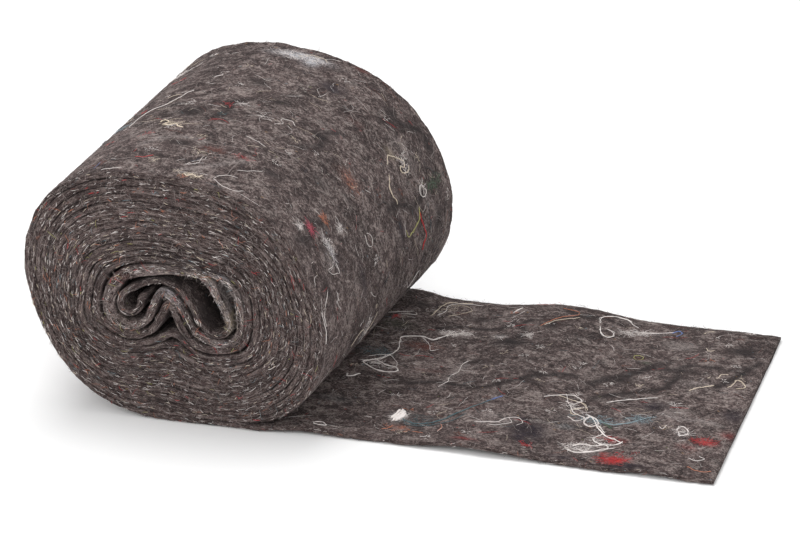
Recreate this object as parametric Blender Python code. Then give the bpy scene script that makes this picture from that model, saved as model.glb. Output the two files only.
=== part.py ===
"""A roll of recycled felt, in metres, +Z up.

One strip of felt is wound on itself along the Y axis, with no tube inside. The roll has sagged into an
oval, its empty middle has folded in, and the last turn leaves it at the bottom and lies along +X.
The origin is on the surface that the roll rests on, straight below the centre of its section.
"""

import math

import bmesh
import bpy

# Driving dimensions
STRIP_WIDTH = 0.200
FELT_THICKNESS = 0.0025
GAP = 0.0003  # between the two solids, so that neither overlaps the other
TAKE_OFF_X = 0.036  # where the last turn leaves the roll
END_X_FRONT = 0.261  # the cut end of the strip, at its front and rear corners
END_X_REAR = 0.257

# The roll's outline at its two ends, in polar form about a centre at x = 0: a mean radius with an
# oval and a square share, each with the direction in which it stands out.
SECTION_COLUMNS = ("y", "centre_z", "radius", "oval", "oval_deg", "square", "square_deg")
SECTIONS = (
    (-STRIP_WIDTH / 2, 0.0606, 0.0695, 0.0078, -19.0, 0.0021, 53.0),
    (STRIP_WIDTH / 2, 0.0650, 0.0732, 0.0088, -25.0, 0.0014, 54.0),
)
SECTION_STEPS = 8  # spaces between the sections of the loft
OUTLINE_STEPS = 96  # points round a section
ROLL_DEG = 360.0

# Soft waves that run across the loose end: where the crest is, how far it reaches each way, and how
# high it stands at the strip's front and rear edges.
WAVE_COLUMNS = ("crest_x", "reach", "front", "rear")
WAVES = (
    (0.062, 0.023, 0.0012, 0.0024),
    (0.147, 0.045, 0.0024, 0.0040),
    (0.232, 0.024, 0.0012, 0.0003),
)
WAVE_STEP = 0.005  # spacing of the loose end's rows along the strip
STEPS_ACROSS = 8

# The open fold in the middle of the roll, which runs right through it: two round ends joined by
# straight sides.
FOLD_COLUMNS = ("x", "z", "radius")
FOLD_ENDS = (
    (0.0135, 0.0695, 0.0045),
    (0.0240, 0.0535, 0.0058),
)
FOLD_ARC_STEPS = 8
CUTTER_OVERRUN = 0.010

FELT_COLOUR = (0.060, 0.050, 0.050, 1.0)
FELT_ROUGHNESS = 0.95


def rows(columns, table):
    """The table's rows as dictionaries, one name for each column."""
    return [dict(zip(columns, row)) for row in table]


def mixed(first, second, share):
    return first + (second - first) * share


def section_at(y):
    """The outline's values at y, between the two ends of the roll."""
    front, rear = rows(SECTION_COLUMNS, SECTIONS)
    share = (y - front["y"]) / (rear["y"] - front["y"])
    return {name: mixed(front[name], rear[name], share) for name in SECTION_COLUMNS}


def outline_radius(section, angle):
    oval = section["oval"] * math.cos(2 * (angle - math.radians(section["oval_deg"])))
    square = section["square"] * math.cos(4 * (angle - math.radians(section["square_deg"])))
    return section["radius"] + oval + square


def wave_height(x, y):
    """How far the loose end's underside is off the surface."""
    share = y / STRIP_WIDTH + 0.5
    height = 0.0
    for wave in rows(WAVE_COLUMNS, WAVES):
        away = abs(x - wave["crest_x"]) / wave["reach"]
        if away < 1.0:
            height += mixed(wave["front"], wave["rear"], share) * math.cos(away * math.pi / 2) ** 2
    return height


def roll_outline(y):
    """One section of the roll, anticlockwise from the top of the step where the last turn leaves it."""
    section = section_at(y)
    start = math.atan2(-section["centre_z"], TAKE_OFF_X)
    points = [(TAKE_OFF_X, FELT_THICKNESS + GAP)]
    for step in range(1, OUTLINE_STEPS):
        angle = start + math.radians(ROLL_DEG * step / OUTLINE_STEPS)
        radius = outline_radius(section, angle)
        x = radius * math.cos(angle)
        z = section["centre_z"] + radius * math.sin(angle)
        on_loose_end = x > TAKE_OFF_X and step < OUTLINE_STEPS / 2
        lowest = wave_height(x, y) + FELT_THICKNESS + GAP if on_loose_end else 0.0
        points.append((min(x, TAKE_OFF_X - GAP) if z <= 0.0 else x, max(z, lowest)))
    points.append((TAKE_OFF_X, 0.0))
    return points


def closed_loft(name, sections):
    """A closed mesh object through the sections, each a ring of as many points, with flat ends."""
    mesh = bmesh.new()
    rings = [[mesh.verts.new(point) for point in section] for section in sections]
    count = len(rings[0])
    for ring, following in zip(rings, rings[1:]):
        for i in range(count):
            j = (i + 1) % count
            mesh.faces.new((ring[i], ring[j], following[j], following[i]))
    mesh.faces.new(list(reversed(rings[0])))
    mesh.faces.new(rings[-1])
    bmesh.ops.recalc_face_normals(mesh, faces=mesh.faces)
    data = bpy.data.meshes.new(name)
    mesh.to_mesh(data)
    mesh.free()
    return bpy.data.objects.new(name, data)


def fold_outline():
    """The outline of the open fold in the XZ plane, anticlockwise."""
    upper, lower = rows(FOLD_COLUMNS, FOLD_ENDS)
    along = math.atan2(upper["z"] - lower["z"], upper["x"] - lower["x"])
    points = []
    for end, facing in ((upper, along), (lower, along + math.pi)):
        for step in range(FOLD_ARC_STEPS + 1):
            angle = facing + math.pi * (step / FOLD_ARC_STEPS - 0.5)
            x = end["x"] + end["radius"] * math.cos(angle)
            z = end["z"] + end["radius"] * math.sin(angle)
            points.append((x, z))
    return points


def fold_cutter():
    reach = STRIP_WIDTH / 2 + CUTTER_OVERRUN
    sections = [[(x, y, z) for x, z in fold_outline()] for y in (-reach, reach)]
    cutter = closed_loft("fold_cutter", sections)
    cutter.hide_render = True
    cutter.display_type = "WIRE"
    return cutter


def felt_material():
    material = bpy.data.materials.new("felt")
    material.use_nodes = True
    shader = material.node_tree.nodes["Principled BSDF"]
    shader.inputs["Base Color"].default_value = FELT_COLOUR
    shader.inputs["Roughness"].default_value = FELT_ROUGHNESS
    shader.inputs["Metallic"].default_value = 0.0
    return material


def wound_roll(material, cutter):
    front, rear = (row["y"] for row in rows(SECTION_COLUMNS, SECTIONS))
    places = [mixed(front, rear, step / SECTION_STEPS) for step in range(SECTION_STEPS + 1)]
    roll = closed_loft("wound_roll", [[(x, y, z) for x, z in roll_outline(y)] for y in places])
    roll.data.materials.append(material)
    fold = roll.modifiers.new("open fold", "BOOLEAN")
    fold.operation = "DIFFERENCE"
    fold.object = cutter
    return roll


def loose_end_section(share):
    """A section across the strip, at a share of the loose end's length."""
    across = [STRIP_WIDTH * (step / STEPS_ACROSS - 0.5) for step in range(STEPS_ACROSS + 1)]
    under = []
    for y in across:
        end_x = mixed(END_X_FRONT, END_X_REAR, y / STRIP_WIDTH + 0.5)
        x = mixed(TAKE_OFF_X + GAP, end_x, share)
        under.append((x, y, wave_height(x, y)))
    over = [(x, y, z + FELT_THICKNESS) for x, y, z in reversed(under)]
    return under + over


def loose_end(material):
    steps = round((END_X_FRONT - TAKE_OFF_X) / WAVE_STEP)
    sheet = closed_loft("loose_end", [loose_end_section(step / steps) for step in range(steps + 1)])
    sheet.data.materials.append(material)
    return sheet


def clear_scene():
    for obj in list(bpy.data.objects):
        bpy.data.objects.remove(obj)


def main():
    clear_scene()
    parts = bpy.data.collections.new("felt_roll")
    cutters = bpy.data.collections.new("cutters")
    for collection in (parts, cutters):
        bpy.context.scene.collection.children.link(collection)
    material = felt_material()
    cutter = fold_cutter()
    cutters.objects.link(cutter)
    parts.objects.link(wound_roll(material, cutter))
    parts.objects.link(loose_end(material))


main()
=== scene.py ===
"""The looks of a roll of recycled felt: one long strip, wound, folded in at its middle and laid out.

Lengths are in millimetres in the part's frame (X towards the loose end, Y along the roll, Z up) unless a
name says otherwise, and turn into metres where a mesh is made. Places on the strip are given by s, the
distance along it (0 where it leaves the roll, negative on the roll, positive on the loose end), and y,
the distance across it.
"""

import math

import bpy
import numpy as np
from mathutils import Euler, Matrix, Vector, noise


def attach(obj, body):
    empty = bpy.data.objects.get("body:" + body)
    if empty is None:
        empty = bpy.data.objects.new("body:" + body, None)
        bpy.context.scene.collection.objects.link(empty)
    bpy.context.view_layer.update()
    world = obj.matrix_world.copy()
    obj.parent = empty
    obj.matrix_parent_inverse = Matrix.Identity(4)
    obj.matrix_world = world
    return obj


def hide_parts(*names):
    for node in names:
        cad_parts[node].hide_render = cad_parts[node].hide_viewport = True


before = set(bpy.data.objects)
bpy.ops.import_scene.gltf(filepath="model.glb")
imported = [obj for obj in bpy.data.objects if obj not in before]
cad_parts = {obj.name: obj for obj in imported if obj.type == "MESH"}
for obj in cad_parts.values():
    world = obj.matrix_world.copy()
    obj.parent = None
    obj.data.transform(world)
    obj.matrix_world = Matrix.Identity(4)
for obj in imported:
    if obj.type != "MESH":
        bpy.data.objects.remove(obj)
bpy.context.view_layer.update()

MM = 0.001
HALF_WIDTH = 100.0
EDGE_BAND = 2.0  # how far in from the strip's edge counts as the edge
LOBE_FILL = 2.3
FELT = 2.5
TAKE_OFF_X = 36.0
rng = np.random.default_rng(71)

# ---------------------------------------------------------------- the strip's line, seen from the front

# The points of INNER_END and FOLDED_TURNS weren't chosen freely: they were picked by eye on the photo and
# turned into millimetres by a separate script, then rounded to half a millimetre, some shifted by hand.

# The innermost end: a curl on the left, over the first arch, down and round the open fold, back on top.
INNER_END = (
    (-12.5, 62.5), (-15.5, 62), (-16, 58), (-18, 54.5), (-21.5, 53), (-25, 54), (-26.5, 57.5), (-25.5, 61.5),
    (-22.5, 64.5), (-17.5, 67), (-12.5, 69.5), (-6.5, 71), (-1.5, 70.5), (3, 68), (7, 64), (10.5, 59),
    (13, 53.5), (16.5, 49.5), (20.5, 46.5), (25.5, 47), (28.5, 50.5), (28, 55.5), (26, 60.5), (23.5, 65.5),
    (21, 70), (18, 74), (13.5, 76), (7.5, 76.5),
)  # fmt: skip

# The turns round it, each at the same stations: over the top, the left, the left lobe, up into the arch,
# down again, the right lobe and the right. Station angles are seen from the roll's centre.
STATION_DEG = (90, 112, 140, 172, 200, 228, 245, 256, 265, 274, 283, 296, 315, 338, 362, 395)
FOLDED_TURNS = (
    (
        (-3, 77), (-15.5, 76), (-26, 72), (-32.5, 61.5), (-32, 51.5), (-23, 46),
        (-14, 49.5), (-9.5, 57.5), (-5, 65.5), (1.5, 62.5), (6.5, 55), (12.5, 46.5),
        (22.5, 42.5), (32.5, 46), (34, 60), (27, 74.5),
    ),
    (
        (-0.5, 81), (-18, 80), (-32.5, 73.5), (-38.5, 60.5), (-37.5, 49), (-24, 41.5),
        (-12, 44.5), (-6.5, 52), (-2.5, 59.5), (1, 55.5), (4, 49), (10.5, 40.5),
        (23, 38.5), (35, 43.5), (38, 59.5), (30.5, 76),
    ),
    (
        (-0.5, 84), (-19.5, 83), (-36.5, 75), (-42.5, 60.5), (-41.5, 47), (-26.5, 37.5),
        (-12, 39), (-5, 42.5), (-0.5, 44.5), (4, 42.5), (8, 38.5), (13.5, 35),
        (24.5, 35), (38, 40.5), (42, 59), (33.5, 77.5),
    ),
    (
        (-0.5, 86.5), (-20.5, 85.5), (-40, 76.5), (-45.5, 60.5), (-45.5, 46), (-28.5, 34.5),
        (-12, 35.5), (-6, 38.5), (-0.5, 40.5), (4, 38.5), (8, 35), (14, 32),
        (25.5, 32), (41, 38.5), (45.5, 59), (36.5, 80),
    ),
    (
        (0, 89), (-22, 88), (-43, 78.5), (-48.5, 60), (-49, 44.5), (-31, 31),
        (-12.5, 32), (-6, 34.5), (0, 36), (5, 34.5), (9.5, 31.5), (15.5, 28.5),
        (28, 29), (44, 36), (48.5, 59.5), (39, 82.5),
    ),
)  # fmt: skip
LAST_TABLE_TURN = len(FOLDED_TURNS)
AFTER_LAST_TABLE_TURN = (0.0, 92.0)

# The roll's outline at its front and rear ends, as in the CAD source but up to 2 mm fuller at the rear.
SECTION_COLUMNS = ("centre_z", "radius", "oval", "oval_deg", "square", "square_deg")
FRONT = dict(zip(SECTION_COLUMNS, (60.6, 69.5, 7.8, -19.0, 2.1, 53.0)))
REAR = dict(zip(SECTION_COLUMNS, (65.0, 74.2, 9.3, -22.4, 1.4, 54.0)))
REAR_GROWTH = 1.055  # the rear folds are a little more open than the front ones
REAR_SHIFT = 0.6
END_X_FRONT, END_X_REAR = 262.0, 259.0

# The loose end's waves, as in the CAD source: crest's x, reach, height at the front edge and at the rear.
WAVES = ((62.0, 23.0, 1.2, 2.4), (147.0, 45.0, 2.4, 4.0), (232.0, 24.0, 1.2, 0.3))

TURNS_END = 15.70  # the turn count at which the strip leaves the roll
STEP = 0.5  # spacing of the worked-out line


def smooth(t):
    t = np.clip(t, 0.0, 1.0)
    return t * t * (3.0 - 2.0 * t)


def spline(points, per_span):
    """A Catmull-Rom curve through the points, per_span samples to a span, its last point left off."""
    p = np.asarray(points, float)
    p = np.vstack([2 * p[0] - p[1], p, 2 * p[-1] - p[-2]])
    t = np.arange(per_span)[:, None] / per_span
    out = []
    for a, b, c, d in zip(p, p[1:], p[2:], p[3:]):
        out.append(
            0.5 * (2 * b + (c - a) * t + (2 * a - 5 * b + 4 * c - d) * t**2 + (3 * b - a - 3 * c + d) * t**3)
        )
    return np.vstack(out)


def outline(section, degrees):
    a = np.radians(degrees)
    r = section["radius"]
    r = r + section["oval"] * np.cos(2 * (a - math.radians(section["oval_deg"])))
    r = r + section["square"] * np.cos(4 * (a - math.radians(section["square_deg"])))
    return np.stack([r * np.cos(a), section["centre_z"] + r * np.sin(a)], -1)


def wave_height(x, share):
    """How far the loose end's underside is off the surface; share is 0 at the front edge, 1 at the rear."""
    height = np.zeros(np.broadcast(x, share).shape)
    for crest, reach, front, rear in WAVES:
        away = np.clip(np.abs(x - crest) / reach, 0, 1)
        height = height + (front + (rear - front) * share) * np.cos(away * math.pi / 2) ** 2
    return height


def folded_line(grow):
    """The folded middle and the first turns at one end of the roll, up to the last turn in the table."""
    points = list(INNER_END)
    for turn in FOLDED_TURNS[:-1]:
        points += list(turn)
    points += list(FOLDED_TURNS[-1][:1])
    return grow(spline(points, 12))


def strip_line(section, share, grow):
    """Points of the strip's middle line at one end of the roll, from the innermost end to the take-off."""
    inner = folded_line(grow)
    count = 15 * len(STATION_DEG)
    phase = np.arange(count) / count
    last = grow(spline([*FOLDED_TURNS[-1], AFTER_LAST_TABLE_TURN], 15)[:count])
    before = grow(spline([*FOLDED_TURNS[-2], FOLDED_TURNS[-1][0]], 15)[:count])
    ring = (1 - phase)[:, None] * last + phase[:, None] * before
    station = np.arange(len(STATION_DEG) + 1) / len(STATION_DEG)
    turns = np.arange(LAST_TABLE_TURN, TURNS_END, 1 / count)
    turns = np.append(turns, TURNS_END)
    at = turns % 1.0
    closed = np.vstack([ring, ring[:1]])
    inside = np.stack([np.interp(at, np.arange(count + 1) / count, closed[:, k]) for k in (0, 1)], -1)
    degrees = np.interp(at, station, STATION_DEG + (STATION_DEG[0] + 360,))
    outside = outline(section, degrees)
    outside = outside - FELT / 2 * unit(outside - [0.0, section["centre_z"]])
    # the turns still to come, eased so that the last turn keeps to the outline until it leaves the roll
    left = TURNS_END - turns
    whole = np.floor(left)
    part = left - whole
    near = smooth((part - 0.90) / 0.10)
    deep = np.clip(whole / 4.0, 0, 1)
    left = whole + near + (part - near) * deep
    share_out = 1 - left / (TURNS_END - LAST_TABLE_TURN)
    line = inside + (outside - inside) * share_out[:, None]
    # the layers under the roll lie on one another, and on the loose end where that is below them
    floor = np.where(line[:, 0] > TAKE_OFF_X, wave_height(line[:, 0], share) + FELT + 0.15, 0.0)
    low = line[:, 1] < 25.0
    layer = np.where(low, np.floor(TURNS_END - turns + 1e-9), 0)
    over = (line[:, 0] > TAKE_OFF_X - 2.0) & low
    floor = np.where(over, floor + (layer - 1).clip(0) * (FELT + 0.1), floor + layer * (FELT + 0.1))
    line[:, 1] = np.maximum(line[:, 1], floor + FELT / 2)
    return np.vstack([inner, line])


def unit(v):
    return v / np.maximum(np.linalg.norm(v, axis=-1, keepdims=True), 1e-9)


def grow_rear(p):
    """Points of the front folds, moved to where the rear ones are."""
    z = (p[..., 1] - FRONT["centre_z"]) * REAR_GROWTH + REAR["centre_z"]
    return np.stack([p[..., 0] * REAR_GROWTH + REAR_SHIFT, z], -1)


front_line = strip_line(FRONT, 0.0, lambda p: p)
rear_line = strip_line(REAR, 1.0, grow_rear)
take_off = len(front_line) - 1

tail_share = np.linspace(0, 1, 450)[1:]
tails = []
for end_x, share in ((END_X_FRONT, 0.0), (END_X_REAR, 1.0)):
    x = TAKE_OFF_X + (end_x - TAKE_OFF_X) * tail_share
    tails.append(np.stack([x, wave_height(x, share) + FELT / 2], -1))
front_line[-1] = (TAKE_OFF_X, FELT / 2)
rear_line[-1] = (TAKE_OFF_X, FELT / 2)
front_line = np.vstack([front_line, tails[0]])
rear_line = np.vstack([rear_line, tails[1]])


def relaxed(line, rounds):
    """The line with its kinks eased."""
    line = line.copy()
    for _ in range(rounds):
        middle = (line[:-2] + line[2:]) / 2
        line[1:-1] += 0.5 * (middle - line[1:-1])
    return line


mean_line = (front_line + rear_line) / 2
length_at = np.concatenate([[0], np.cumsum(np.linalg.norm(np.diff(mean_line, axis=0), axis=1))])
S0 = length_at[take_off]
S = np.arange(0, length_at[-1], STEP)
S = np.append(S, length_at[-1])
FOLDS_END = 900.0  # arc length from the innermost end to where the folds have eased
LINES = []
for line in (front_line, rear_line):
    even = np.stack([np.interp(S, length_at, line[:, k]) for k in (0, 1)], -1)
    # the folds keep their tight bends, and the plain turns lose theirs
    plain = smooth((S - FOLDS_END) / 60.0)[:, None] * (1 - smooth((S - S0 + 60.0) / 20.0))[:, None]
    LINES.append(relaxed(even, 6) * (1 - plain) + relaxed(even, 300) * plain)
S = S - S0
S_START, S_END = S[0], S[-1]
COVER_START = S[np.searchsorted(S, -430.0)]  # where the outermost turn starts


def room_along(line):
    """How far the nearest other layer is from each point of the line."""
    pick = np.arange(0, len(line), 3)
    p = line[pick]
    room = np.empty(len(pick))
    for i in range(0, len(pick), 400):
        block = p[i : i + 400]
        gap = np.linalg.norm(block[:, None] - p[None], axis=2)
        along = np.abs(np.arange(i, i + len(block))[:, None] - np.arange(len(p))[None]) * 3 * STEP
        room[i : i + len(block)] = np.where(along < 9.0, 1e3, gap).min(1)
    return np.interp(np.arange(len(line)), pick, room)


ROOM = [room_along(line) for line in LINES]

# The most that the felt's thickness may be, at places along the strip.
THICKEST = (
    (S_START, 2.9), (S_START + 60.0, 2.9), (S_START + 130.0, 3.8), (S_START + 420.0, 3.8),
    (S_START + 600.0, 3.3), (-150.0, 3.3), (0.0, FELT),
)  # fmt: skip
THINNEST = 1.2


def thickness(s, share):
    """The felt's thickness: nearly as much as the neighbouring layers leave room for."""
    room = (1 - share) * np.interp(s, S, ROOM[0]) + share * np.interp(s, S, ROOM[1])
    most = np.interp(s, *zip(*THICKEST))
    filled = 0.955 + 0.04 * np.sin(s / 9.0) * np.sin(s / 31.0 + 1.0)
    return np.clip(np.minimum(most, room * filled), THINNEST, None)


def width_share(y):
    """y as a share of the strip's width: 0 at the front edge, 1 at the rear."""
    return y / (2 * HALF_WIDTH) + 0.5


def place(s, y):
    """Middle-line points (n, 3) and outward normals at the places (s, y) on the strip."""
    share = np.clip(width_share(y), 0, 1)
    at, tangent = [], []
    for k in (0, 1):
        f = np.interp(s, S, LINES[0][:, k])
        r = np.interp(s, S, LINES[1][:, k])
        at.append(f + (r - f) * share)
        f2 = np.interp(s + 0.6, S, LINES[0][:, k]) - np.interp(s - 0.6, S, LINES[0][:, k])
        r2 = np.interp(s + 0.6, S, LINES[1][:, k]) - np.interp(s - 0.6, S, LINES[1][:, k])
        tangent.append(f2 + (r2 - f2) * share)
    tangent = unit(np.stack(tangent, -1))
    point = np.stack([at[0], y, at[1]], -1)
    normal = np.stack([tangent[:, 1], np.zeros(len(y)), -tangent[:, 0]], -1)
    return point, normal


# ---------------------------------------------------------------- meshes


def wobble(x, y, z, size, detail=2):
    """Smooth noise from -1 to 1 at each point, with features of that size in millimetres."""
    out = np.empty(len(x))
    for i, (a, b, c) in enumerate(zip(x / size, y / size, z / size)):
        out[i] = noise.fractal(Vector((a, b, c)), 1.0, 2.0, detail)
    return out


def drawn_in(s, end):
    """How far the loose end's edge lies inside the roll's, at the front (end -1) or the rear (end 1)."""
    if end < 0:
        return 3.8 * smooth(s / 40.0) - 2.3 * smooth((s - 90.0) / 100.0)
    return 5.0 * smooth(s / 90.0) + 2.3 * smooth((s - 130.0) / 60.0)


def rim_share(y):
    """0 over most of the strip's width, rising to 1 at its edges."""
    return smooth((np.abs(y) - 82.0) / 18.0)


def inset(s, y):
    """How far y moves in from its place across a strip with straight edges."""
    return np.sign(y) * rim_share(y) * np.where(y < 0, drawn_in(s, -1), drawn_in(s, 1))


def edge_reach(s, end):
    """How far the strip's edge stands out past its nominal width: a slow drift, and frayed detail."""
    one = np.zeros(len(s))
    slow = 0.7 * wobble(s, one + end * 500, one, 170.0, 1)
    mid = 0.5 * wobble(s, one + end * 900, one, 18.0, 2)
    fine = 0.32 * wobble(s, one + end * 300, one, 3.2, 2)
    inner = 1.2 * (1 - smooth((s - S_START - 330) / 60)) if end < 0 else 0.0
    return slow + mid + fine + inner - drawn_in(s, end)


# The strip's edge in section: how far in from the edge, and how much of the half thickness.
EDGE_SHAPE = (
    (3.2, 1.0), (1.1, 0.99), (0.42, 0.95), (0.14, 0.78), (0.03, 0.52), (0.0, 0.26), (0.0, 0.0),
    (0.0, -0.26), (0.03, -0.52), (0.14, -0.78), (0.42, -0.95), (1.1, -0.99), (3.2, -1.0),
)  # fmt: skip


def section_loop(outer_rows, inner_rows):
    """The strip's closed section as (y, side) pairs, with side 1 on the outer face and -1 on the inner."""
    rear = [(HALF_WIDTH - d, h) for d, h in EDGE_SHAPE]
    front = [(-HALF_WIDTH + d, -h) for d, h in EDGE_SHAPE]
    flat = HALF_WIDTH - EDGE_SHAPE[0][0]
    outer = [(y, 1.0) for y in np.linspace(-flat, flat, outer_rows + 2)[1:-1]]
    inner = [(y, -1.0) for y in np.linspace(flat, -flat, inner_rows + 2)[1:-1]]
    return np.array(outer + rear + inner + front)


def ring_quads(rings, around):
    """The faces between rings of vertices, each ring with as many vertices around."""
    base = np.arange(rings - 1)[:, None] * around
    i = np.arange(around)[None]
    j = (i + 1) % around
    return np.stack([base + i, base + j, base + around + j, base + around + i], -1).reshape(-1, 4).tolist()


def build_mesh(name, verts, faces, uv=None, depth=None, stain_and_shade=None):
    data = bpy.data.meshes.new(name)
    data.from_pydata((np.asarray(verts) * MM).tolist(), [], faces)
    corner = np.empty(len(data.loops), np.int32)
    data.loops.foreach_get("vertex_index", corner)
    for layer, values in (("strip", uv), ("depth", depth)):
        if values is not None:
            in_metres = (values[corner] * MM).astype(np.float32)
            data.uv_layers.new(name=layer).data.foreach_set("uv", in_metres.ravel())
    if stain_and_shade is not None:
        attribute = data.color_attributes.new("stain_and_shade", "FLOAT_COLOR", "POINT")
        attribute.data.foreach_set("color", stain_and_shade.astype(np.float32).ravel())
    data.polygons.foreach_set("use_smooth", [True] * len(data.polygons))
    data.validate()
    obj = bpy.data.objects.new(name, data)
    bpy.context.scene.collection.objects.link(obj)
    return obj


def edge_raggedness(s, y, side):
    """How far each layer's cut edge stands out or in, in fine detail."""
    coarse = 0.55 * wobble(s * 0.42, side * 1.9, y, 1.0, 1)
    return coarse + 0.22 * wobble(s * 1.1, side * 3.4, y, 0.9, 0)


def half_thickness(s, y, y_real, side, at_edge, lumps):
    """Half the felt's thickness at each vertex, with its lumps, its uneven edge and its thinned border."""
    height = thickness(s, width_share(y_real)) / 2
    if lumps:
        large = 0.34 * wobble(s, y, side * 40, 26.0, 2)
        medium = 0.24 * wobble(s, y, side * 90, 7.0, 2)
        small = 0.12 * wobble(s, y, side * 60, 2.8, 1)
        height = height + np.where(np.abs(side) > 0.9, lumps * (large + medium + small), 0.0)
    height = height * np.where(at_edge, 1.05 + 0.24 * wobble(s, side * 7.0, y * 0.2, 4.5, 2), 1.0)
    border = np.minimum(HALF_WIDTH - np.abs(y), S_END - s)
    thin = smooth(s / 12.0) * np.exp(-border / 2.6) * (side * outer_side(s) > -0.3)
    return height * (1 - 0.66 * thin)


def stain_and_shade_colours(s, y, side, stains_and_shade):
    """Each vertex's colour from the stains and from the painted shade along the creases, with its strength as
    alpha.
    """
    stain_and_shade = np.zeros((len(s), 4))
    facing = (np.where(s < 0, side, -side) > 0.5) | (s < COVER_START)
    for mark_s, mark_y, reach_s, reach_y, colour, strength in stains_and_shade:
        away = ((s - mark_s) / reach_s) ** 2 + ((y - mark_y) / reach_y) ** 2
        full = strength * (1.9 if colour in ("dark", "navy") else 1.25)
        amount = np.minimum(full * np.exp(-1.6 * away), 1.0) * facing
        more = amount > stain_and_shade[:, 3]
        stain_and_shade[more, :3] = CLOTH_TINTS[colour]
        stain_and_shade[more, 3] = amount[more]
    return stain_and_shade


def sweep(name, start, end, spacing, outer_rows, inner_rows, lumps, stains_and_shade):
    """The strip from start to end along it, as a closed solid."""
    count = max(2, round((end - start) / spacing)) + 1
    at = np.linspace(start, end, count)
    loop = section_loop(outer_rows, inner_rows)
    n_loop = len(loop)
    s = np.repeat(at, n_loop)
    y = np.tile(loop[:, 0], count)
    side = np.tile(loop[:, 1], count)
    reach = {edge: np.repeat(edge_reach(at, edge), n_loop) for edge in (-1, 1)}
    y_real = y + np.sign(y) * rim_share(y) * np.where(y < 0, reach[-1], reach[1])
    at_edge = np.abs(y) > HALF_WIDTH - EDGE_BAND
    y_real = y_real + np.where(at_edge, np.sign(y) * edge_raggedness(s, y, side), 0.0)
    s_real = s - smooth((s - S_END + 8.0) / 8.0) * (0.45 + 0.45 * wobble(y, y * 0, y * 0, 4.0, 2))
    point, normal = place(s_real, y_real)
    height = half_thickness(s, y, y_real, side, at_edge, lumps)
    # the left lobe of the innermost turn is filled on its inner face, as the photo shows it
    lobe = LOBE_FILL * smooth((s - S_START - 142) / 20) * (1 - smooth((s - S_START - 200) / 18))
    verts = point + normal * (side * height - lobe * np.clip(-side, 0, 1))[:, None]
    verts[:, 2] = np.maximum(verts[:, 2], 0.0)
    faces = ring_quads(count, n_loop)
    faces.append(list(range(n_loop))[::-1])
    faces.append(list(range((count - 1) * n_loop, count * n_loop)))
    uv = np.stack([s, y_real + inset(s, y)], -1)
    depth = np.stack([side * height, np.zeros(len(s))], -1)
    obj = build_mesh(name, verts, faces, uv, depth, stain_and_shade_colours(s, y, side, stains_and_shade))
    if signed_volume(obj) < 0:
        obj.data.flip_normals()
    return obj


def signed_volume(obj):
    """Six times the mesh's volume, negative if its faces look inwards."""
    data = obj.data
    co = np.empty(len(data.vertices) * 3)
    data.vertices.foreach_get("co", co)
    co = co.reshape(-1, 3)
    data.calc_loop_triangles()
    tri = np.empty(len(data.loop_triangles) * 3, np.int32)
    data.loop_triangles.foreach_get("vertices", tri)
    a, b, c = (co[tri.reshape(-1, 3)[:, k]] for k in range(3))
    return float((a * np.cross(b, c)).sum())


# Fibre and thread colours, linear.
COLOURS = {
    "white": (0.84, 0.775, 0.745),
    "cream": (0.71, 0.60, 0.475),
    "grey": (0.31, 0.257, 0.242),
    "brown": (0.105, 0.075, 0.069),
    "dark": (0.010, 0.008, 0.009),
    "red": (0.52, 0.030, 0.035),
    "orange": (0.55, 0.20, 0.11),
    "rust": (0.17, 0.050, 0.032),
    "lime": (0.44, 0.42, 0.15),
    "green": (0.060, 0.12, 0.065),
    "teal": (0.065, 0.115, 0.130),
    "sky": (0.27, 0.36, 0.40),
    "blue": (0.13, 0.19, 0.42),
    "navy": (0.020, 0.017, 0.030),
    "pink": (0.55, 0.11, 0.16),
}
strands = {name: [] for name in COLOURS}  # each colour's (points, radius) pairs
TUBE_SIDES = 3


def tube_arrays(points, radius):
    """Vertices and faces of a closed tube along the points, thinner towards its ends."""
    p = np.array(points, float)
    p[:, 2] = np.maximum(p[:, 2], radius)
    n = len(p)
    t = unit(np.gradient(p, axis=0))
    ref = np.array([0.31, 0.17, 0.93]) if abs(t[:, 2]).max() < 0.9 else np.array([0.1, 0.97, 0.22])
    a = unit(np.cross(t, ref))
    b = np.cross(t, a)
    turn = np.arange(TUBE_SIDES) * 2 * math.pi / TUBE_SIDES
    taper = np.ones(n)
    taper[0] = taper[-1] = 0.35
    ring = a[:, None] * np.cos(turn)[None, :, None] + b[:, None] * np.sin(turn)[None, :, None]
    verts = (p[:, None] + ring * (radius * taper)[:, None, None]).reshape(-1, 3)
    caps = [list(range(TUBE_SIDES))[::-1], list(range((n - 1) * TUBE_SIDES, n * TUBE_SIDES))]
    return verts, ring_quads(n, TUBE_SIDES) + caps


def strand_object(colour, material):
    """All strands of one colour as one mesh."""
    verts, faces, at = [], [], 0
    for points, radius in strands[colour]:
        tube_verts, tube_faces = tube_arrays(points, radius)
        faces += [[k + at for k in face] for face in tube_faces]
        verts.append(tube_verts)
        at += len(tube_verts)
    obj = build_mesh("threads_" + colour, np.vstack(verts), faces)
    obj.data.materials.append(material)
    return obj


def outer_side(s):
    """1 where the strip's outward side is the one that shows, -1 on the loose end, whose upper side shows."""
    return np.where(s < 0, 1.0, -1.0)


def on_strip(s, y, lift):
    """Points that lie lift above the side that shows."""
    s, y = np.asarray(s, float), np.asarray(y, float)
    y = np.clip(y - inset(s, y), -101.0, 101.0)
    point, normal = place(s, y)
    height = thickness(s, width_share(y)) / 2 + lift
    return point + normal * (outer_side(s) * height)[:, None]


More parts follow.
